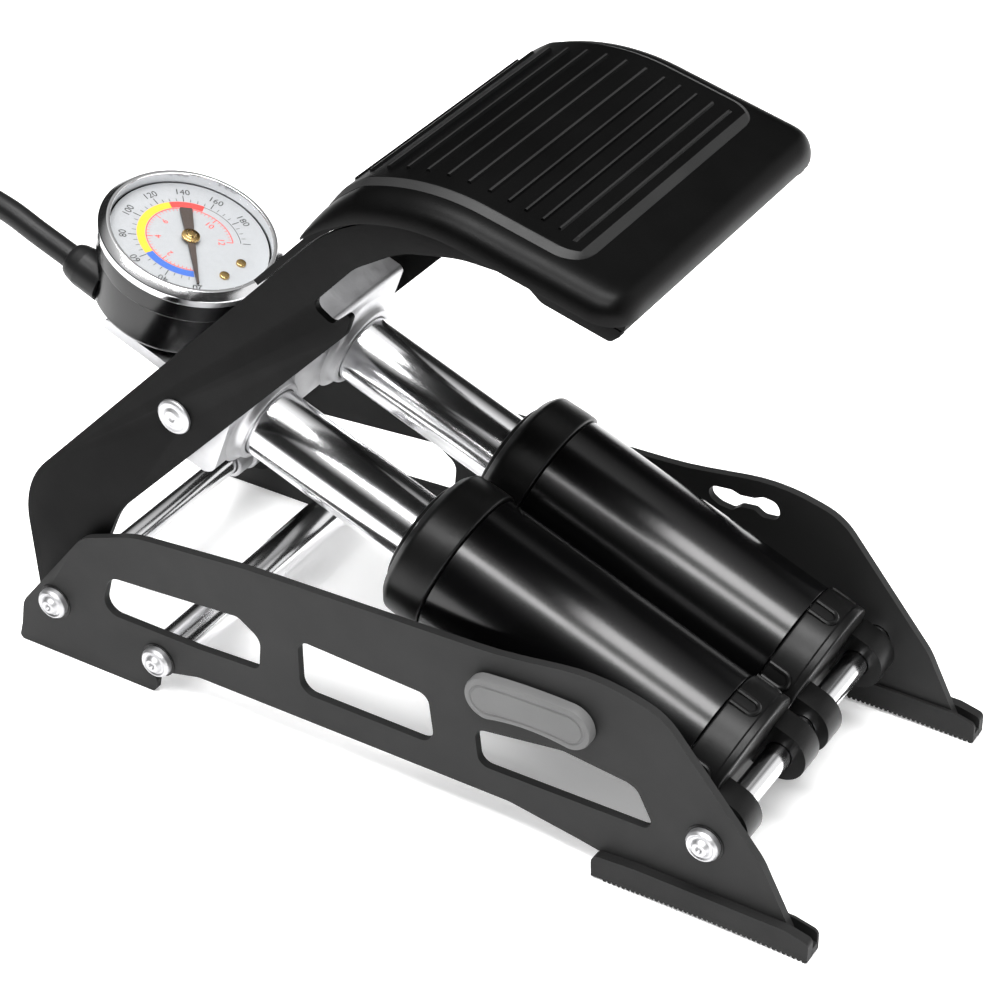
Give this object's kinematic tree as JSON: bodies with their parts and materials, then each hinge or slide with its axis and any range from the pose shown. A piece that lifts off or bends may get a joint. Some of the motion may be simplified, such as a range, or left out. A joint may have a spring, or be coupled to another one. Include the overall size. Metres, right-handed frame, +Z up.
{
  "type": "foot air pump",
  "caption": "Foot-operated air pump: an arched pedal on a hinged arm drives chrome tubes into tilted barrels between side plates, with a dial gauge and a hose.",
  "frame": {"origin": "On the floor under the middle of the pump's box, measured without the hose and what lies on it.", "axes": "+Z up, +X towards the end of the base with the rubber feet and the barrels' lower pivot, +Y from the badge's side to the other side; the pedal arm is hinged at -X."},
  "size_m": [0.4259, 0.1818, 0.2102],
  "materials": {
    "plate_grey": "dark grey powder coat",
    "foot_rubber": "moulded rubber",
    "badge_grey": "satin grey",
    "steel": "zinc plated",
    "chrome": "polished",
    "arm_black": "black powder coat",
    "pedal_black": "satin",
    "pad_rubber": "ribbed",
    "gloss_black": "gloss black paint",
    "cap_black": "gloss",
    "cast_alloy": "die cast",
    "piston_alloy": "turned",
    "seal_rubber": "matte",
    "gauge_black": "gloss",
    "dial_white": "printed",
    "clear_lens": "clear",
    "pointer_black": "satin black",
    "brass": "polished",
    "hose_rubber": "smooth"
  },
  "bodies": {
    "base": {"base_plate_near": "plate_grey", "base_plate_far": "plate_grey", "foot_near": "foot_rubber", "foot_far": "foot_rubber", "badge": "badge_grey", "rear_axle": "steel", "front_shaft": "chrome", "tie_rod": "steel", "rear_tube": "chrome", "bolt_rear_near": "steel", "bolt_rear_far": "steel", "bolt_tube_near": "steel", "bolt_tube_far": "steel", "bolt_front_near": "steel", "bolt_front_far": "steel", "hinge_washer_near": "steel", "hinge_washer_far": "steel", "axle_bush_near": "steel", "axle_bush_far": "steel"},
    "arm": {"arm_plate_near": "arm_black", "arm_plate_far": "arm_black", "pivot_bolt_near": "steel", "pivot_bolt_far": "steel", "pivot_bush_near": "steel", "pivot_bush_far": "steel", "pivot_shaft": "steel", "pedal_plate": "arm_black", "pedal_cover": "pedal_black", "pedal_pad": "pad_rubber"},
    "barrels": {"barrel_near": "gloss_black", "barrel_far": "gloss_black", "collar_near": "cap_black", "collar_far": "cap_black", "end_cap_near": "cap_black", "end_cap_far": "cap_black"},
    "head_unit": {"head": "cast_alloy", "tube_near": "chrome", "tube_far": "chrome", "piston_near": "piston_alloy", "piston_far": "piston_alloy", "piston_seal_near": "seal_rubber", "piston_seal_far": "seal_rubber", "gauge_bracket": "cast_alloy", "gauge_cup": "gauge_black", "gauge_case": "gauge_black", "bezel": "chrome", "dial": "dial_white", "lens": "clear_lens", "dial_screw_1": "steel", "dial_screw_2": "steel", "hose_port": "hose_rubber", "hose_tube": "hose_rubber"},
    "needle": {"pointer": "pointer_black", "pointer_cap": "brass"},
    "hose_end": {"hose_coil": "hose_rubber", "hose_ferrule": "steel", "chuck_body": "cap_black", "chuck_nose": "steel", "lever_pin": "steel"},
    "chuck_lever": {"chuck_lever": "steel"}
  },
  "joints": [
    {"name": "pedal_hinge", "type": "hinge", "parent": "base", "child": "arm", "pos_m": [-0.1282, 0, 0.0218], "axis": [0, 1, 0], "range_deg": [0, 30], "stiffness_Nm_per_rad": 6, "springref_deg": -20.05},
    {"name": "barrel_hinge", "type": "hinge", "parent": "base", "child": "barrels", "pos_m": [0.1113, 0, 0.0276], "axis": [0, 1, 0], "range_deg": [-7.6, 0.4]},
    {"name": "head_slide", "type": "slide", "parent": "barrels", "child": "head_unit", "axis": [0.9278, 0, -0.373], "range_m": [-0.001, 0.0495]},
    {"name": "needle_turn", "type": "hinge", "parent": "head_unit", "child": "needle", "pos_m": [-0.10343, 0, 0.13849], "axis": [-0.373, 0, -0.9278], "range_deg": [0, 270], "stiffness_Nm_per_rad": 0.0002},
    {"name": "hose_follow", "type": "hinge", "parent": "head_unit", "child": "hose_end", "pos_m": [0.2319, 0, 0.393], "axis": [0, 1, 0], "range_deg": [-0.4, 7.6], "deforming": ["hose_tube"]},
    {"name": "lever_hinge", "type": "hinge", "parent": "hose_end", "child": "chuck_lever", "pos_m": [-0.1588, -0.11275, 0.0146], "axis": [0, 1, 0], "range_deg": [0, 90]}
  ],
  "couplings": [
    {"joint": "barrel_hinge", "follows": "pedal_hinge", "ratio": -0.24184},
    {"joint": "head_slide", "follows": "pedal_hinge", "m_per_rad": 0.092999},
    {"joint": "hose_follow", "follows": "pedal_hinge", "ratio": 0.24184}
  ]
}
